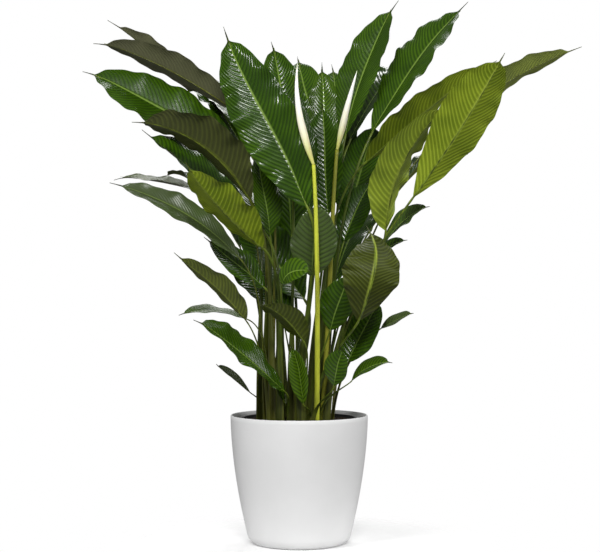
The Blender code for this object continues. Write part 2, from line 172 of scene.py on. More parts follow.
class Leaf:
    """What the CAD leaf says about itself: stalk line, midrib line, upper side, width and fold."""

    def __init__(self, name):
        self.name = name
        rings = rings_of(name)
        stalk_count = len(rings) - len(BLADE_RINGS)
        centres = np.array([ring.mean(axis=0) for ring in rings])
        radii = [np.linalg.norm(ring - ring.mean(axis=0), axis=1).mean() for ring in rings]
        self.foot_radius, self.neck_radius = radii[0], radii[stalk_count]
        self.stalk = fitted(np.array((0.0, 0.3, 0.6, 0.85, 1.0)), centres[:stalk_count + 1], 3)

        ribs, normals, widths, folds = [centres[stalk_count]], [], [], []
        for ring in rings[stalk_count + 1:]:
            gaps = np.linalg.norm(ring[:, None] - ring[None], axis=-1)
            left, right = np.unravel_index(gaps.argmax(), gaps.shape)
            across = unit(ring[right] - ring[left])
            rest = [i for i in range(SECTION_POINTS) if i not in (left, right)]
            rest.sort(key=lambda i: abs(np.dot(ring[i] - (ring[left] + ring[right]) / 2, across)))
            a, b = ring[rest[0]], ring[rest[1]]
            chord = (ring[left] + ring[right]) / 2
            top, under = (a, b) if np.linalg.norm(a - chord) < np.linalg.norm(b - chord) else (b, a)
            normal = unit(top - under)
            ribs.append((top * 1.3 + under) / 2.3)
            normals.append(normal)
            widths.append(gaps.max() / 2)
            folds.append(np.dot(chord - ribs[-1], normal) / widths[-1])
        self.midrib = fitted(BLADE_RINGS, np.array(ribs), 2)
        self.upper = fitted(BLADE_RINGS[1:-1], np.array(normals[:-1]), 3)
        self.fold = float(np.median(folds[1:-2]))
        widths = np.array(widths)
        fits = []
        for widest in np.arange(0.38, 0.66, 0.01):
            shape = outline(BLADE_RINGS[2:-1], widest)
            scale = float(np.dot(shape, widths[1:-1]) / np.dot(shape, shape))
            fits.append((float(np.abs(shape * scale - widths[1:-1]).max()), scale, widest))
        _, self.half_width, self.widest = min(fits)
        steps = self.midrib(np.linspace(0, 1, 40))
        self.length = float(np.linalg.norm(np.diff(steps, axis=0), axis=1).sum())
        self.seed = sum(ord(letter) * (i + 3) for i, letter in enumerate(name))

    def frame_at(self, t):
        """Midrib point, direction, upper side and across direction at each place t."""
        nearby = 1e-3
        point = self.midrib(t)
        ahead = np.minimum(t + nearby, 1.0)
        along = unit(self.midrib(ahead) - self.midrib(ahead - 2 * nearby))
        normal = self.upper(np.clip(t, BLADE_RINGS[1], BLADE_RINGS[-2]))
        normal = unit(normal - along * (normal * along).sum(axis=-1, keepdims=True))
        return point, along, normal, np.cross(along, normal)


# ---------------------------------------------------------------- mesh and node helpers

def mesh_object(name, points, faces, attributes=(), uv=None):
    """Object from points and faces, with point attributes (name, values) and a UV pair for each point."""
    mesh = bpy.data.meshes.new(name)
    mesh.from_pydata([tuple(p) for p in points], [], [tuple(f) for f in faces])
    for label, values in attributes:
        layer = mesh.attributes.new(label, "FLOAT", "POINT")
        layer.data.foreach_set("value", np.asarray(values, np.float32))
    if uv is not None:
        layer = mesh.uv_layers.new(name="surface")
        corners = np.zeros(len(mesh.loops), int)
        mesh.loops.foreach_get("vertex_index", corners)
        layer.data.foreach_set("uv", np.asarray(uv, np.float32)[corners].reshape(-1))
    mesh.shade_smooth()
    thing = bpy.data.objects.new(name, mesh)
    bpy.context.scene.collection.objects.link(thing)
    return thing


def add_node(tree, kind, inputs=None, **settings):
    """Add a node, set its options, and set or connect its inputs."""
    made = tree.nodes.new(kind)
    for key, value in settings.items():
        setattr(made, key, value)
    for key, value in (inputs or {}).items():
        if isinstance(value, bpy.types.NodeSocket):
            tree.links.new(value, made.inputs[key])
        else:
            made.inputs[key].default_value = value
    return made


def calc(tree, operation, *values, clamp=False):
    inputs = dict(enumerate(values))
    return add_node(tree, "ShaderNodeMath", inputs, operation=operation, use_clamp=clamp).outputs[0]


def ramp(tree, value, low, high, start=0.0, end=1.0):
    """Smooth change from start to end as value goes from low to high."""
    inputs = {"Value": value, "From Min": low, "From Max": high, "To Min": start, "To Max": end}
    return add_node(tree, "ShaderNodeMapRange", inputs, interpolation_type="SMOOTHSTEP").outputs["Result"]


def blend(tree, share, first, second, kind="MIX"):
    mixer = add_node(tree, "ShaderNodeMix", data_type="RGBA", blend_type=kind)
    for socket, value in ((0, share), (6, first), (7, second)):
        if isinstance(value, bpy.types.NodeSocket):
            tree.links.new(value, mixer.inputs[socket])
        elif socket:
            mixer.inputs[socket].default_value = (*value, 1.0)
        else:
            mixer.inputs[socket].default_value = value
    return mixer.outputs[2]


def attribute(tree, name):
    return add_node(tree, "ShaderNodeAttribute", attribute_name=name).outputs["Fac"]


def noise(tree, scale, detail=3.0, stretch=(1.0, 1.0, 1.0)):
    """Noise over the piece's own coordinates."""
    place = add_node(tree, "ShaderNodeTexCoord").outputs["Object"]
    place = add_node(tree, "ShaderNodeMapping", {"Vector": place, "Scale": stretch}).outputs[0]
    inputs = {"Vector": place, "Scale": scale, "Detail": detail}
    return add_node(tree, "ShaderNodeTexNoise", inputs).outputs["Fac"]


def new_material(name, **constants):
    """Material with one Principled shader; constants are set on its own sockets."""
    finish = bpy.data.materials.new(name)
    finish.use_nodes = True
    tree = finish.node_tree
    shader = tree.nodes["Principled BSDF"]
    for key, value in constants.items():
        shader.inputs[key.replace("_", " ")].default_value = value
    return finish, tree, shader


def bump(tree, shader, height, strength, distance):
    inputs = {"Height": height, "Strength": strength, "Distance": distance}
    tree.links.new(add_node(tree, "ShaderNodeBump", inputs).outputs[0], shader.inputs["Normal"])


def shader_group(name, inputs, outputs):
    """Empty shader node group with named value sockets."""
    tree = bpy.data.node_groups.new(name, "ShaderNodeTree")
    for label, kind, value in inputs:
        socket = tree.interface.new_socket(label, in_out="INPUT", socket_type=kind)
        socket.default_value = value
    for label, kind in outputs:
        tree.interface.new_socket(label, in_out="OUTPUT", socket_type=kind)
    return tree, tree.nodes.new("NodeGroupInput"), tree.nodes.new("NodeGroupOutput")


# ---------------------------------------------------------------- finishes

def build_rib_pattern():
    """Shader group: masks of the side veins, the fine lines between them and the midrib."""
    tree, given, result = shader_group(
        "leaf_ribs",
        [("Fine Lines", "NodeSocketFloat", 5.0), ("Midrib Width", "NodeSocketFloat", 0.05)],
        [(label, "NodeSocketFloat") for label in ("Vein", "Hollow", "Fine", "Midrib")],
    )
    vein = attribute(tree, "vein")
    across = calc(tree, "ABSOLUTE", attribute(tree, "across"))
    away = calc(tree, "PINGPONG", vein, 0.5)
    tree.links.new(ramp(tree, away, 0.10, 0.0), result.inputs["Vein"])
    tree.links.new(ramp(tree, away, 0.34, 0.06), result.inputs["Hollow"])
    fine = calc(tree, "PINGPONG", calc(tree, "MULTIPLY", vein, given.outputs["Fine Lines"]), 0.5)
    tree.links.new(ramp(tree, fine, 0.0, 0.5), result.inputs["Fine"])
    edge = calc(tree, "MULTIPLY", given.outputs["Midrib Width"], 1.6)
    rib = add_node(tree, "ShaderNodeMapRange", {"Value": across, "From Min": edge, "From Max": 0.0})
    tree.links.new(rib.outputs["Result"], result.inputs["Midrib"])
    return tree


def use_group(tree, group, **values):
    made = add_node(tree, "ShaderNodeGroup", node_tree=group)
    for key, value in values.items():
        made.inputs[key.replace("_", " ")].default_value = value
    return made.outputs


def upper_side(ribs):
    finish, tree, shader = new_material("leaf_upper_side", Specular_IOR_Level=0.5)
    pattern = use_group(tree, ribs, Fine_Lines=4.0, Midrib_Width=0.035)
    clouds = ramp(tree, noise(tree, 14.0), 0.3, 0.7)
    body = blend(tree, clouds, (0.014, 0.044, 0.0012), (0.038, 0.094, 0.0025))
    # painted sunlight: the sunlit share lightens the upper side to a yellower green
    body = blend(tree, calc(tree, "MULTIPLY", attribute(tree, "tone_and_sunlight"), 0.5), body, (0.11, 0.20, 0.006))
    # painted shade: the sunken groove round each side vein darkened to near black
    body = blend(tree, calc(tree, "MULTIPLY", pattern["Hollow"], 0.78), body, (0.005, 0.019, 0.001))
    body = blend(tree, calc(tree, "MULTIPLY", pattern["Vein"], 0.25), body, (0.080, 0.16, 0.014))
    body = blend(tree, calc(tree, "MULTIPLY", pattern["Midrib"], 0.85), body, (0.22, 0.33, 0.060))
    # painted sheen: the leaf's sheen share mixes in a greyish reflection
    body = blend(tree, calc(tree, "MULTIPLY", attribute(tree, "bloom"), 0.8), body, (0.12, 0.13, 0.07))
    tip = ramp(tree, attribute(tree, "along"), 0.88, 0.95)
    body = blend(tree, calc(tree, "MULTIPLY", tip, 0.8), body, (0.016, 0.016, 0.006))
    tree.links.new(body, shader.inputs["Base Color"])
    gloss = calc(tree, "ADD", calc(tree, "MULTIPLY", noise(tree, 30.0), 0.14), 0.16)
    tree.links.new(gloss, shader.inputs["Roughness"])
    grain = calc(tree, "MULTIPLY", noise(tree, 90.0), 0.4)
    bump(tree, shader, calc(tree, "ADD", pattern["Fine"], grain), 0.16, 0.0003)
    return finish


def under_side(ribs):
    finish, tree, shader = new_material("leaf_under_side", Specular_IOR_Level=0.25)
    pattern = use_group(tree, ribs, Fine_Lines=5.0, Midrib_Width=0.05)
    # the sunlit share turns the dull olive of a leaf in shade into lit yellow-green: painted sunlight and
    # light through the leaf, with some real yellower tone
    tone_and_sunlight = attribute(tree, "tone_and_sunlight")
    dull = blend(tree, ramp(tree, noise(tree, 12.0), 0.3, 0.7), (0.030, 0.040, 0.004), (0.058, 0.074, 0.008))
    lit = blend(tree, ramp(tree, noise(tree, 18.0), 0.3, 0.7), (0.150, 0.220, 0.008), (0.270, 0.360, 0.018))
    body = blend(tree, tone_and_sunlight, dull, lit)
    # side veins paler than the blade: their own paler colour, with painted light on the raised ribs
    rib = blend(tree, tone_and_sunlight, (0.100, 0.120, 0.020), (0.42, 0.50, 0.05))
    # painted shade: the blade darkened between the raised ribs
    between = blend(tree, tone_and_sunlight, (0.014, 0.018, 0.002), (0.075, 0.110, 0.004))
    body = blend(tree, ramp(tree, pattern["Hollow"], 0.5, 0.0, 0.0, 0.42), body, between)
    body = blend(tree, calc(tree, "MULTIPLY", pattern["Vein"], 0.60), body, rib)
    body = blend(tree, calc(tree, "MULTIPLY", pattern["Midrib"], 0.8), body, (0.36, 0.44, 0.06))
    # painted sheen: the leaf's sheen share mixes in a greyish reflection
    body = blend(tree, calc(tree, "MULTIPLY", attribute(tree, "bloom"), 0.8), body, (0.13, 0.125, 0.08))
    tip = ramp(tree, attribute(tree, "along"), 0.88, 0.95)
    body = blend(tree, calc(tree, "MULTIPLY", tip, 0.7), body, (0.03, 0.03, 0.010))
    tree.links.new(body, shader.inputs["Base Color"])
    gloss = calc(tree, "ADD", calc(tree, "MULTIPLY", noise(tree, 60.0), 0.12), 0.38)
    tree.links.new(gloss, shader.inputs["Roughness"])
    grain = calc(tree, "MULTIPLY", noise(tree, 90.0), 0.5)
    bump(tree, shader, calc(tree, "ADD", pattern["Fine"], grain), 0.3, 0.0003)
    return finish


def stalk_skin(name, low, high, top, dark, shade, roughness):
    """Smooth stem with dark lengthwise streaks: colours at the foot, in the middle and at the top."""
    finish, tree, shader = new_material(name, Specular_IOR_Level=0.45)
    along = attribute(tree, "along")
    body = blend(tree, ramp(tree, along, -1.0, -0.55), low, high)
    body = blend(tree, ramp(tree, along, -0.45, 0.1), body, top)
    streaks = noise(tree, 110.0, 4.0, (1.0, 1.0, 0.05))
    body = blend(tree, ramp(tree, streaks, 0.40, 0.65, 0.0, shade), body, dark)
    # mixes in dull olive-brown: painted shade on the second flower stem; on leaf stalks it follows the leaf's
    # painted sheen share
    body = blend(tree, calc(tree, "MULTIPLY", attribute(tree, "bloom"), 0.8), body, (0.10, 0.09, 0.012))
    tree.links.new(body, shader.inputs["Base Color"])
    gloss = calc(tree, "ADD", calc(tree, "MULTIPLY", noise(tree, 40.0), 0.15), roughness)
    tree.links.new(gloss, shader.inputs["Roughness"])
    bump(tree, shader, streaks, 0.4, 0.0004)
    return finish


def spathe_skin():
    finish, tree, shader = new_material("spathe_skin", Specular_IOR_Level=0.4, Subsurface_Weight=0.12)
    shader.inputs["Subsurface Radius"].default_value = (0.004, 0.003, 0.002)
    along = attribute(tree, "along")
    body = blend(tree, ramp(tree, along, 0.0, 0.42), (0.60, 0.62, 0.14), (0.86, 0.83, 0.66))
    body = blend(tree, ramp(tree, along, 0.40, 0.70), body, (0.95, 0.95, 0.89))
    body = blend(tree, ramp(tree, along, 0.93, 1.0, 0.0, 0.7), body, (0.55, 0.66, 0.28))
    lines = calc(tree, "PINGPONG", calc(tree, "MULTIPLY", attribute(tree, "across"), 9.0), 0.5)
    mask = calc(tree, "MULTIPLY", ramp(tree, lines, 0.12, 0.0), ramp(tree, along, 0.9, 0.2, 0.0, 0.4))
    body = blend(tree, mask, body, (0.52, 0.60, 0.22))
    rim = calc(tree, "PINGPONG", attribute(tree, "seam"), 0.5)
    rim = calc(tree, "MULTIPLY", ramp(tree, rim, 0.10, 0.0), ramp(tree, along, 0.8, 0.3, 0.0, 0.7))
    body = blend(tree, rim, body, (0.50, 0.32, 0.20))
    tree.links.new(body, shader.inputs["Base Color"])
    gloss = calc(tree, "ADD", calc(tree, "MULTIPLY", noise(tree, 80.0), 0.12), 0.38)
    tree.links.new(gloss, shader.inputs["Roughness"])
    bump(tree, shader, calc(tree, "ADD", lines, noise(tree, 160.0)), 0.25, 0.0004)
    return finish


def moulded_plastic(name, colour, worn, roughness, grain):
    """Moulded plastic with a fine grain and slight clouding; worn is the second colour."""
    finish, tree, shader = new_material(name, Specular_IOR_Level=0.5)
    body = blend(tree, ramp(tree, noise(tree, 9.0, 4.0), 0.35, 0.75), colour, worn)
    tree.links.new(body, shader.inputs["Base Color"])
    gloss = calc(tree, "ADD", calc(tree, "MULTIPLY", noise(tree, 30.0), 0.12), roughness)
    tree.links.new(gloss, shader.inputs["Roughness"])
    bump(tree, shader, noise(tree, 1400.0, 2.0), 0.3, grain)
    return finish


def potting_soil(name, dark, light):
    finish, tree, shader = new_material(name, Specular_IOR_Level=0.25)
    body = blend(tree, ramp(tree, noise(tree, 160.0, 5.0), 0.3, 0.75), dark, light)
    tree.links.new(body, shader.inputs["Base Color"])
    gloss = calc(tree, "ADD", calc(tree, "MULTIPLY", noise(tree, 90.0), 0.2), 0.75)
    tree.links.new(gloss, shader.inputs["Roughness"])
    bump(tree, shader, noise(tree, 700.0, 5.0), 0.9, 0.0012)
    return finish


# ---------------------------------------------------------------- leaves

def blade_surface(leaf, dice):
    """Grid of the flat blade: rows follow the side veins from margin to midrib to margin."""
    full = VEIN_SPACING * (0.55 + 0.45 * min(leaf.half_width / 0.05, 1.2))
    pairs = max(int(round(leaf.length / full)), 8)
    rows = pairs * ROWS_PER_VEIN
    steps = np.linspace(0.0, 1.0, COLUMNS + 1)
    side = 1.0 - (1.0 - steps) ** 1.25
    across = np.concatenate((-side[:0:-1], side))
    u, v = np.meshgrid(np.linspace(0.0, 1.0, rows + 1), across, indexing="ij")
    reach = np.abs(v)
    t = u + VEIN_SWEEP * np.maximum(u, 1e-9) ** 0.6 * (1.0 - u) * reach ** 1.3
    t = np.clip(t, 0.0, 1.0)

    point, along, normal, out = leaf.frame_at(t)
    half = leaf.half_width * outline(t, leaf.widest)
    draw_in = 1.0 - smooth_step((t - TAIL_START) / (TAIL_FREE - TAIL_START))
    half = np.maximum(half * draw_in, TAIL_HALF_WIDTH * (1.0 - 0.75 * smooth_step((t - 0.9) / 0.1)))
    half = np.maximum(half, leaf.neck_radius * 0.6 * (t < 0.3))
    waves, edge = np.zeros_like(t), np.zeros_like(t)
    for sign in (-1, 1):
        beat = leaf.length * dice.uniform(*WAVES_PER_METRE)
        phase, deep = dice.uniform(0, math.tau), dice.uniform(*WAVE_DEPTH)
        ripple = np.sin(math.tau * beat * t + phase) + 0.45 * np.sin(math.tau * beat * 2.3 * t + 2 * phase)
        side = v * sign > 0
        waves += side * reach ** 2.2 * ripple * deep
        nicks = dice.uniform(*NICK_DEPTH) * np.sin(math.tau * beat * 1.2 * t + 3 * phase)
        edge += side * (nicks + dice.uniform(-SIDE_UNEVEN, SIDE_UNEVEN))
    calm = smooth_step(t / 0.15) * smooth_step((1.0 - t) / 0.2)
    waves *= calm
    half = half * (1.0 + edge * calm)
    lift = leaf.fold * (1.35 * reach - 0.45 * reach ** 3)
    tail = np.clip((t - 0.80) / 0.20, 0.0, 1.0) ** 2 * leaf.length
    droop = dice.uniform(*TIP_DROOP)
    twist, sway = dice.uniform(-TIP_TWIST, TIP_TWIST), dice.uniform(-TIP_TWIST, TIP_TWIST)
    bow = sway * leaf.length * np.sin(math.tau * t) * smooth_step(t / 0.2)
    spot = point + out * (half * v + tail * twist + bow)[..., None]
    spot += normal * (half * (lift + waves) - tail * droop)[..., None]

    relief = smooth_step(reach / 0.14) * smooth_step((1.0 - reach) / 0.12) * smooth_step((1.0 - t) / 0.14)
    relief *= min(leaf.half_width / 0.045, 1.1) * RIBBED.get(leaf.name, 0.75)
    body = 1.0 - reach ** 5
    body[0] = body[-1] = 0.0
    relief[0] = relief[-1] = 0.0
    fields = {"vein": u * pairs, "across": v, "along": t, "relief": relief, "body": body}
    return spot, fields


def tube(centres, across, normal, radii, hollow):
    """Rings of points round a line; hollow is how far the upper side is sunk at each ring."""
    angles = np.linspace(0, math.tau, STALK_SIDES, endpoint=False)
    wide, thick = radii
    x = np.cos(angles)[None] * wide[:, None]
    y = np.sin(angles)[None] * thick[:, None]
    y = y - hollow[:, None] * np.maximum(np.sin(angles), 0.0)[None] ** 2
    return centres[:, None] + across[:, None] * x[..., None] + normal[:, None] * y[..., None]


def leaf_stalk(leaf, dice):
    """Stalk from the soil to the neck, running on as the raised rib under the blade."""
    s = np.linspace(0.0, 1.0, STALK_ROWS)
    line = leaf.stalk(s)
    along = unit(np.gradient(line, axis=0))
    t = np.linspace(0.012, 0.93, RIB_ROWS)
    point, rib_along, rib_normal, _ = leaf.frame_at(t)
    size = leaf.neck_radius
    rib_radius = size * (0.85 - 0.62 * t ** 0.8)
    sunk = smooth_step(t / 0.05) * rib_radius * 0.75
    line = np.concatenate((line, point - rib_normal * sunk[:, None]))
    along = np.concatenate((along, rib_along))

    normal = np.zeros_like(line)
    normal[STALK_ROWS:] = rib_normal
    for i in range(STALK_ROWS - 1, -1, -1):
        inward = normal[i + 1] - along[i] * np.dot(normal[i + 1], along[i])
        normal[i] = unit(inward)
    across = np.cross(along, normal)
    sheath = 1.0 - smooth_step((s - 0.12) / dice.uniform(0.25, 0.5))
    radius = leaf.foot_radius + (leaf.neck_radius - leaf.foot_radius) * s
    knee = 1.0 + 0.22 * np.exp(-((s - 0.965) / 0.03) ** 2)
    radius = radius * dice.uniform(0.8, 1.05)
    wide = np.concatenate((radius * (1.0 + SHEATH_WIDTH * sheath) * knee, rib_radius))
    thick = np.concatenate((radius * (1.0 + 0.05 * sheath) * knee, rib_radius * 0.8))
    hollow = np.concatenate((radius * (0.35 + 0.6 * sheath), rib_radius * 0.0))
    spot = tube(line, across, normal, (wide, thick), hollow)
    place = np.concatenate((s - 1.0, t))
    return spot, np.repeat(place[:, None], STALK_SIDES, axis=1)


def grid_faces(rows, columns, first=0, around=False):
    i, j = np.meshgrid(np.arange(rows - 1), np.arange(columns if around else columns - 1), indexing="ij")
    k = (j + 1) % columns
    a, b = first + i * columns + j, first + i * columns + k
    return np.stack((a, b, b + columns, a + columns), axis=-1).reshape(-1, 4)


def tube_faces(rows, sides, first=0):
    """Faces of a closed tube whose rings turn clockwise seen from its far end, with flat ends."""
    last = first + (rows - 1) * sides
    ends = [tuple(range(first, first + sides)), tuple(range(last + sides - 1, last - 1, -1))]
    return [*grid_faces(rows, sides, first, around=True)[:, ::-1], *ends]


def build_blade_tree(upper, under, skin):
    """Geometry nodes: side veins pressed into the blade, its thickness, and its three finishes."""
    tree = bpy.data.node_groups.new("blade_relief", "GeometryNodeTree")
    face = tree.interface
    face.new_socket("Geometry", in_out="INPUT", socket_type="NodeSocketGeometry")
    sizes = (("Vein Depth", VEIN_DEPTH), ("Thickness", BLADE_THICKNESS), ("Groove Width", 0.62))
    for label, value in sizes:
        face.new_socket(label, in_out="INPUT", socket_type="NodeSocketFloat").default_value = value
    face.new_socket("Geometry", in_out="OUTPUT", socket_type="NodeSocketGeometry")
    given = tree.nodes.new("NodeGroupInput").outputs
    result = tree.nodes.new("NodeGroupOutput")

    def field(name):
        return add_node(tree, "GeometryNodeInputNamedAttribute", {"Name": name}, data_type="FLOAT").outputs[0]

    def moved(shape, amount):
        normal = add_node(tree, "GeometryNodeInputNormal").outputs[0]
        shift = add_node(tree, "ShaderNodeVectorMath", {0: normal, "Scale": amount}, operation="SCALE")
        inputs = {"Geometry": shape, "Offset": shift.outputs[0]}
        return add_node(tree, "GeometryNodeSetPosition", inputs).outputs[0]

    def zoned(shape, value):
        inputs = {"Geometry": shape, "Name": "zone", "Value": value}
        kind = {"data_type": "INT", "domain": "FACE"}
        return add_node(tree, "GeometryNodeStoreNamedAttribute", inputs, **kind).outputs[0]

    is_blade = add_node(tree, "FunctionNodeCompare", {0: field("body"), 1: -0.5}, operation="GREATER_THAN")
    inputs = {0: given["Geometry"], 1: is_blade.outputs[0]}
    parts = add_node(tree, "GeometryNodeSeparateGeometry", inputs, domain="POINT")
    arch = calc(tree, "ABSOLUTE", calc(tree, "SINE", calc(tree, "MULTIPLY", field("vein"), math.pi)))
    arch = calc(tree, "SUBTRACT", calc(tree, "POWER", arch, given["Groove Width"]), 0.6)
    height = calc(tree, "MULTIPLY", calc(tree, "MULTIPLY", arch, field("relief")), given["Vein Depth"])
    ribbed = moved(parts.outputs[0], height)
    deep = calc(tree, "MULTIPLY", calc(tree, "MULTIPLY", field("body"), given["Thickness"]), -1.0)
    lower = add_node(tree, "GeometryNodeFlipFaces", {0: moved(ribbed, deep)}).outputs[0]
    joined = tree.nodes.new("GeometryNodeJoinGeometry")
    for shape in (zoned(lower, 1), zoned(ribbed, 0)):
        tree.links.new(shape, joined.inputs[0])
    inputs = {0: joined.outputs[0], "Distance": 0.00001}
    sealed = add_node(tree, "GeometryNodeMergeByDistance", inputs).outputs[0]
    whole = tree.nodes.new("GeometryNodeJoinGeometry")
    for shape in (zoned(parts.outputs[1], 2), sealed):
        tree.links.new(shape, whole.inputs[0])
    shape = add_node(tree, "GeometryNodeRealizeInstances", {0: whole.outputs[0]}).outputs[0]
    for zone, finish in enumerate((upper, under, skin)):
        inputs = {"Name": "zone"}
        number = add_node(tree, "GeometryNodeInputNamedAttribute", inputs, data_type="INT").outputs[0]
        same = add_node(tree, "FunctionNodeCompare", data_type="INT", operation="EQUAL")
        tree.links.new(number, same.inputs[2])
        same.inputs[3].default_value = zone
        inputs = {"Geometry": shape, "Selection": same.outputs[0], "Material": finish}
        shape = add_node(tree, "GeometryNodeSetMaterial", inputs).outputs[0]
    tree.links.new(shape, result.inputs[0])
    return tree


def through_tree(thing, tree, **sizes):
    """Run an object's mesh through a geometry tree once and keep the plain result."""
    modifier = thing.modifiers.new(tree.name, "NODES")
    modifier.node_group = tree
    for item in tree.interface.items_tree:
        key = item.name.replace(" ", "_")
        if item.in_out == "INPUT" and key in sizes:
            modifier[item.identifier] = sizes[key]
    graph = bpy.context.evaluated_depsgraph_get()
    old = thing.data
    made = bpy.data.meshes.new_from_object(thing.evaluated_get(graph))
    thing.modifiers.clear()
    thing.data = made
    made.name = thing.name
    bpy.data.meshes.remove(old)
    return thing


def keep_piece(thing, node):
    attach(thing, "root")
    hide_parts(node)


def build_leaf(name, tree):
    leaf = Leaf(name)
    dice = np.random.default_rng(leaf.seed)
    blade, fields = blade_surface(leaf, dice)
    stalk, place = leaf_stalk(leaf, dice)
    rows, columns = blade.shape[:2]
    first = rows * columns
    points = np.concatenate((blade.reshape(-1, 3), stalk.reshape(-1, 3)))
    faces = [*grid_faces(rows, columns), *tube_faces(len(stalk), STALK_SIDES, first)]
    count = stalk.shape[0] * stalk.shape[1]
    # each leaf's share of yellow tone and of painted sunlight
    tone_and_sunlight = SUNLIT.get(name, float(dice.uniform(0.02, 0.25)))
    turn = np.tile(np.arange(STALK_SIDES) / STALK_SIDES, len(stalk))
    attributes = [
        ("vein", np.concatenate((fields["vein"].reshape(-1), np.zeros(count)))),
        ("across", np.concatenate((fields["across"].reshape(-1), turn))),
        ("along", np.concatenate((fields["along"].reshape(-1), place.reshape(-1)))),
        ("relief", np.concatenate((fields["relief"].reshape(-1), np.zeros(count)))),
        ("body", np.concatenate((fields["body"].reshape(-1), np.full(count, -1.0)))),
        ("tone_and_sunlight", np.full(len(points), tone_and_sunlight)),
        # sheen share for the painted sheen on the blade, also carried to the stalk
        ("bloom", np.full(len(points), PAINTED_SHEEN.get(name, 0.0))),
    ]
    uv = np.stack((attributes[1][1] * 0.5 + 0.5, attributes[2][1]), axis=-1)
    thing = mesh_object(name + "_look", points, faces, attributes, uv)
    through_tree(thing, tree)
    thing.data.set_sharp_from_angle(angle=math.radians(80))
    keep_piece(thing, name)
    return thing


# ---------------------------------------------------------------- flowers

def round_piece(name, node, line, radii, finish, sides=16, seam=0.0, turns=0.0, bloom=0.0):
    """Closed round piece along a line; seam makes one edge overlap the other, winding by turns."""
    rows = len(line)
    along = unit(np.gradient(line, axis=0))
    normal = np.zeros_like(line)
    normal[0] = unit(np.cross(along[0], (0.0, 1.0, 0.0)))
    for i in range(1, rows):
        normal[i] = unit(normal[i - 1] - along[i] * np.dot(normal[i - 1], along[i]))
    across = np.cross(along, normal)
    angles = np.linspace(0, math.tau, sides, endpoint=False)
    share = np.linspace(0, 1, rows)
    wrapped = (angles[None] / math.tau + turns * share[:, None]) % 1.0
    radius = radii[:, None] * (1.0 + seam * (wrapped - 0.5) * np.sin(math.pi * share)[:, None] ** 0.3)
    spot = line[:, None] + across[:, None] * (np.cos(angles)[None] * radius)[..., None]
    spot = spot + normal[:, None] * (np.sin(angles)[None] * radius)[..., None]
    faces = tube_faces(rows, sides)
    along_values = np.repeat(share[:, None], sides, axis=1).reshape(-1)
    around_values = np.tile(angles / math.tau, rows)
    uv = np.stack((around_values, along_values), axis=-1)
    fields = [("along", along_values), ("across", around_values), ("seam", wrapped.reshape(-1))]
    fields += [("bloom", np.full(rows * sides, bloom))]
    thing = mesh_object(name, spot.reshape(-1, 3), faces, fields, uv)
    thing.data.materials.append(finish)
    keep_piece(thing, node)
    return thing


def measured_line(node, count):
    """Smooth centre line and radius of a round CAD solid, at count even places."""
    rings = rings_of(node)
    centres = np.array([ring.mean(axis=0) for ring in rings])
    radii = np.array([np.linalg.norm(ring - ring.mean(axis=0), axis=1).mean() for ring in rings])
    steps = np.concatenate(([0.0], np.cumsum(np.linalg.norm(np.diff(centres, axis=0), axis=1))))
    steps /= steps[-1]
    places = np.linspace(0, 1, count)
    line = fitted(steps, centres, 4)(places)
    return line, np.interp(places, steps, radii)


def build_flower(number, stem_skin, spathe):
    name = "flower_stem_" + number
    line, radii = measured_line(name, STEM_ROWS)
    joint = 1.0 + 0.18 * np.exp(-((np.linspace(0, 1, STEM_ROWS) - 0.62) / 0.008) ** 2)
    # painted shade darkens the second flower stem
    bloom = 0.8 * (number == "2")
    round_piece(name + "_look", name, line, radii * joint, stem_skin, bloom=bloom)
    line, radii = measured_line("spathe_" + number, SPATHE_ROWS)
    swell = np.interp(np.linspace(0, 1, SPATHE_ROWS), SPATHE_PLACES, SPATHE_SWELL)
    radii = radii.max() * np.convolve(np.pad(swell, 3, mode="edge"), np.ones(7) / 7, mode="valid")
    name = "spathe_" + number
    round_piece(name + "_look", name, line, radii, spathe, sides=28, seam=0.16, turns=0.7)


# ---------------------------------------------------------------- pots and soil

def profile_of(node):
    """(radius, height) of a turned CAD solid, from the axis underneath round to the axis at its other end."""
    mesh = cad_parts[node].data
    rings, place = [], []
    for vertex in mesh.vertices:
        spot = (math.hypot(vertex.co.x, vertex.co.y), vertex.co.z)
        same = [i for i, ring in enumerate(rings) if math.dist(ring, spot) < 1e-4]
        place.append(same[0] if same else len(rings))
        if not same:
            rings.append(spot)
    beside = [set() for _ in rings]
    for edge in mesh.edges:
        a, b = (place[i] for i in edge.vertices)
        beside[a].add(b)
        beside[b].add(a)
    for i, near in enumerate(beside):
        near.discard(i)
    here = min((i for i, near in enumerate(beside) if len(near) == 1), key=lambda i: rings[i][1])
    order = [here]
    while (ahead := beside[here] - set(order)):
        here = ahead.pop()
        order.append(here)
    profile = [rings[i] for i in order]
    return [(0.0, profile[0][1]), *profile, (0.0, profile[-1][1])]


def rounded_profile(profile, fine, sharp):
    """Profile with long runs divided; a turn of more than sharp degrees stays a corner."""
    points = [Vector(p) for p in profile]
    lowest, highest = min(p.y for p in points), max(p.y for p in points)
    result = [points[0]]
    for i in range(1, len(points)):
        a, b = points[i - 1], points[i]
        before = points[max(i - 2, 0)]
        after = points[min(i + 1, len(points) - 1)]
        straight = (b - a).length
        start = (b - before) if i > 1 else (b - a)
        end = (after - a) if i + 1 < len(points) else (b - a)
        if i > 1 and (a - before).angle(b - a, 0.0) > math.radians(sharp):
            start = b - a
        if i + 1 < len(points) and (b - a).angle(after - b, 0.0) > math.radians(sharp):
            end = b - a
        count = max(int(straight / fine), 1)
        for step in range(1, count + 1):
            t = step / count
            h = start.normalized() * straight, end.normalized() * straight
            p = a * (2 * t ** 3 - 3 * t * t + 1) + h[0] * (t ** 3 - 2 * t * t + t)
            p += b * (3 * t * t - 2 * t ** 3) + h[1] * (t ** 3 - t * t)
            result.append(Vector((p.x, min(max(p.y, lowest), highest))))
    return result


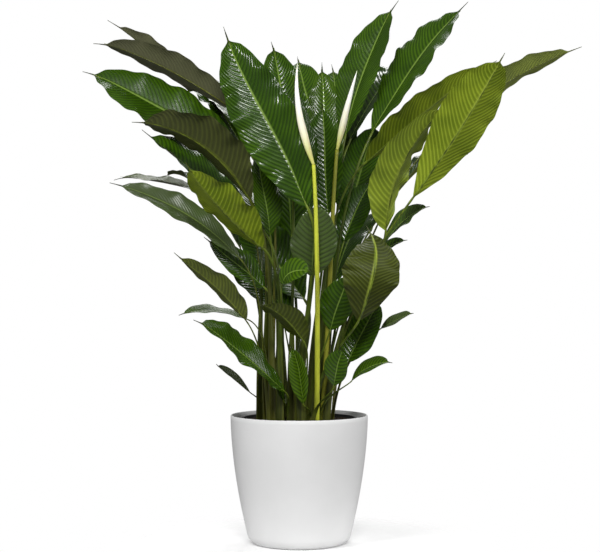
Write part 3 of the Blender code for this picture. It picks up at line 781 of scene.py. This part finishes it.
def turned_piece(name, node, finish, sides, fine, sharp):
    """Turn a CAD profile finely round its axis."""
    profile = rounded_profile(profile_of(node), fine, sharp)
    shape = bmesh.new()
    rows = []
    for p in profile:
        if p.x < 1e-5:
            rows.append([shape.verts.new((0.0, 0.0, p.y))])
            continue
        turn = [math.tau * i / sides for i in range(sides)]
        rows.append([shape.verts.new((p.x * math.cos(a), p.x * math.sin(a), p.y)) for a in turn])
    for low, high in zip(rows, rows[1:]):
        for i in range(sides):
            j = (i + 1) % sides
            corners = [low[i % len(low)], low[j % len(low)], high[j % len(high)], high[i % len(high)]]
            unique = list(dict.fromkeys(corners))
            if len(unique) > 2:
                shape.faces.new(unique)
    bmesh.ops.recalc_face_normals(shape, faces=shape.faces)
    mesh = bpy.data.meshes.new(name)
    shape.to_mesh(mesh)
    shape.free()
    mesh.shade_smooth()
    mesh.set_sharp_from_angle(angle=math.radians(50))
    mesh.materials.append(finish)
    thing = bpy.data.objects.new(name, mesh)
    bpy.context.scene.collection.objects.link(thing)
    keep_piece(thing, node)
    return thing


def build_crumb_tree(crumb_finish):
    """Geometry nodes: crumbs scattered over the upward faces of the soil."""
    tree = bpy.data.node_groups.new("soil_crumbs", "GeometryNodeTree")
    face = tree.interface
    face.new_socket("Geometry", in_out="INPUT", socket_type="NodeSocketGeometry")
    sizes = zip(("Density", "Smallest", "Largest"), (CRUMBS_PER_SQUARE_METRE, *CRUMB_SIZES))
    for label, value in sizes:
        face.new_socket(label, in_out="INPUT", socket_type="NodeSocketFloat").default_value = value
    face.new_socket("Seed", in_out="INPUT", socket_type="NodeSocketInt").default_value = 4
    face.new_socket("Geometry", in_out="OUTPUT", socket_type="NodeSocketGeometry")
    given = tree.nodes.new("NodeGroupInput").outputs
    result = tree.nodes.new("NodeGroupOutput")
    normal = add_node(tree, "GeometryNodeInputNormal").outputs[0]
    up = add_node(tree, "ShaderNodeSeparateXYZ", {0: normal}).outputs["Z"]
    level = add_node(tree, "FunctionNodeCompare", {0: up, 1: 0.5}, operation="GREATER_THAN").outputs[0]
    inputs = {"Mesh": given["Geometry"], "Selection": level}
    inputs |= {"Density": given["Density"], "Seed": given["Seed"]}
    spots = add_node(tree, "GeometryNodeDistributePointsOnFaces", inputs)
    crumb = add_node(tree, "GeometryNodeMeshIcoSphere", {"Radius": 1.0, "Subdivisions": 1}).outputs[0]
    kinds = {"data_type": "FLOAT_VECTOR"}
    size = add_node(tree, "FunctionNodeRandomValue", {"Seed": 7}, data_type="FLOAT")
    tree.links.new(given["Smallest"], size.inputs[2])
    tree.links.new(given["Largest"], size.inputs[3])
    inputs = {0: (0.5, 0.7, 0.35), 1: (1.5, 1.1, 0.8), "Seed": 8}
    uneven = add_node(tree, "FunctionNodeRandomValue", inputs, **kinds)
    inputs = {0: uneven.outputs[0], "Scale": size.outputs[1]}
    scale = add_node(tree, "ShaderNodeVectorMath", inputs, operation="SCALE")
    inputs = {0: (0, 0, 0), 1: (math.tau, math.tau, math.tau), "Seed": 9}
    turn = add_node(tree, "FunctionNodeRandomValue", inputs, **kinds)
    inputs = {"Points": spots.outputs[0], "Instance": crumb}
    inputs |= {"Rotation": turn.outputs[0], "Scale": scale.outputs[0]}
    placed = add_node(tree, "GeometryNodeInstanceOnPoints", inputs).outputs[0]
    real = add_node(tree, "GeometryNodeRealizeInstances", {0: placed}).outputs[0]
    shape = add_node(tree, "GeometryNodeSetMaterial", {"Geometry": real, "Material": crumb_finish}).outputs[0]
    tree.links.new(shape, result.inputs[0])
    return tree


# ---------------------------------------------------------------- studio

def add_light(name, place, target, size, power):
    data = bpy.data.lights.new(name, "AREA")
    data.shape = "RECTANGLE"
    data.size, data.size_y = size
    data.energy = power
    lamp = bpy.data.objects.new(name, data)
    bpy.context.scene.collection.objects.link(lamp)
    lamp.location = place
    lamp.rotation_euler = (Vector(target) - Vector(place)).to_track_quat("-Z", "Y").to_euler()
    return lamp


def build_studio():
    scene = bpy.context.scene
    scene.view_settings.view_transform = "Standard"
    world = bpy.data.worlds.new("studio")
    world.use_nodes = True
    scene.world = world
    tree = world.node_tree
    tree.nodes.clear()
    seen = add_node(tree, "ShaderNodeBackground", {"Color": (1, 1, 1, 1), "Strength": 1.0}).outputs[0]
    fill = add_node(tree, "ShaderNodeBackground", {"Color": (1, 1, 1, 1), "Strength": FILL}).outputs[0]
    direct = add_node(tree, "ShaderNodeLightPath").outputs["Is Camera Ray"]
    mixed = add_node(tree, "ShaderNodeMixShader", {0: direct, 1: fill, 2: seen}).outputs[0]
    add_node(tree, "ShaderNodeOutputWorld", {"Surface": mixed})

    bpy.ops.mesh.primitive_circle_add(vertices=96, radius=FLOOR_RADIUS, fill_type="NGON")
    floor = bpy.context.object
    floor.name = "floor"
    finish, tree, shader = new_material("pale_floor", Roughness=0.9, Specular_IOR_Level=0.1)
    shader.inputs["Base Color"].default_value = (0.86, 0.86, 0.86, 1.0)
    lit = add_node(tree, "ShaderNodeEmission", {"Color": (1, 1, 1, 1), "Strength": FLOOR_LIFT}).outputs[0]
    clear = add_node(tree, "ShaderNodeBsdfTransparent").outputs[0]
    both = add_node(tree, "ShaderNodeAddShader", {0: shader.outputs[0], 1: lit}).outputs[0]
    direct = add_node(tree, "ShaderNodeLightPath").outputs["Is Camera Ray"]
    seen = add_node(tree, "ShaderNodeMixShader", {0: direct, 1: shader.outputs[0], 2: both}).outputs[0]
    place = add_node(tree, "ShaderNodeTexCoord").outputs["Object"]
    away = add_node(tree, "ShaderNodeVectorMath", {0: place}, operation="LENGTH").outputs["Value"]
    inputs = {0: ramp(tree, away, *FLOOR_FADE), 1: seen, 2: clear}
    faded = add_node(tree, "ShaderNodeMixShader", inputs).outputs[0]
    tree.links.new(faded, tree.nodes["Material Output"].inputs[0])
    floor.data.materials.append(finish)

    for lamp in SOFT_LIGHTS:
        add_light(*lamp).visible_glossy = False
    for lamp in GLOSS_LIGHTS:
        add_light(*lamp)

    camera = bpy.data.cameras.new("camera")
    camera.sensor_width = SENSOR_WIDTH
    camera.lens = CAMERA_LENS
    view = bpy.data.objects.new("camera", camera)
    scene.collection.objects.link(view)
    view.location = CAMERA_PLACE
    view.rotation_euler = (math.pi / 2, 0.0, 0.0)
    scene.camera = view


def main():
    ribs = build_rib_pattern()
    moss = (0.012, 0.020, 0.003)
    greens = (0.075, 0.085, 0.012), (0.055, 0.085, 0.006), (0.16, 0.22, 0.020)
    skin = stalk_skin("stalk_skin", *greens, moss, 0.75, 0.30)
    olive = (0.20, 0.24, 0.02)
    limes = (0.34, 0.36, 0.03), (0.50, 0.56, 0.03), (0.54, 0.58, 0.05)
    stem_skin = stalk_skin("flower_stem_skin", *limes, olive, 0.35, 0.34)
    blade_tree = build_blade_tree(upper_side(ribs), under_side(ribs), skin)
    for name in sorted(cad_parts):
        if name.startswith("leaf_"):
            build_leaf(name, blade_tree)

    spathe = spathe_skin()
    for number in ("1", "2"):
        build_flower(number, stem_skin, spathe)

    white = moulded_plastic("white_plastic", (0.70, 0.70, 0.70), (0.73, 0.73, 0.73), 0.42, 0.00025)
    black = moulded_plastic("black_plastic", (0.012, 0.012, 0.012), (0.022, 0.022, 0.021), 0.40, 0.0003)
    turned_piece("pot_look", "pot", white, 160, 0.006, 40)
    turned_piece("growing_pot_look", "growing_pot", black, 120, 0.008, 25)
    earth = potting_soil("potting_soil", (0.008, 0.006, 0.004), (0.030, 0.021, 0.014))
    soil = turned_piece("soil_look", "soil", earth, 96, 0.012, 25)
    crumbs = bpy.data.objects.new("soil_crumbs", soil.data.copy())
    bpy.context.scene.collection.objects.link(crumbs)
    loose = potting_soil("soil_crumbs", (0.010, 0.007, 0.005), (0.060, 0.040, 0.024))
    through_tree(crumbs, build_crumb_tree(loose))
    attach(crumbs, "root")

    build_studio()


main()
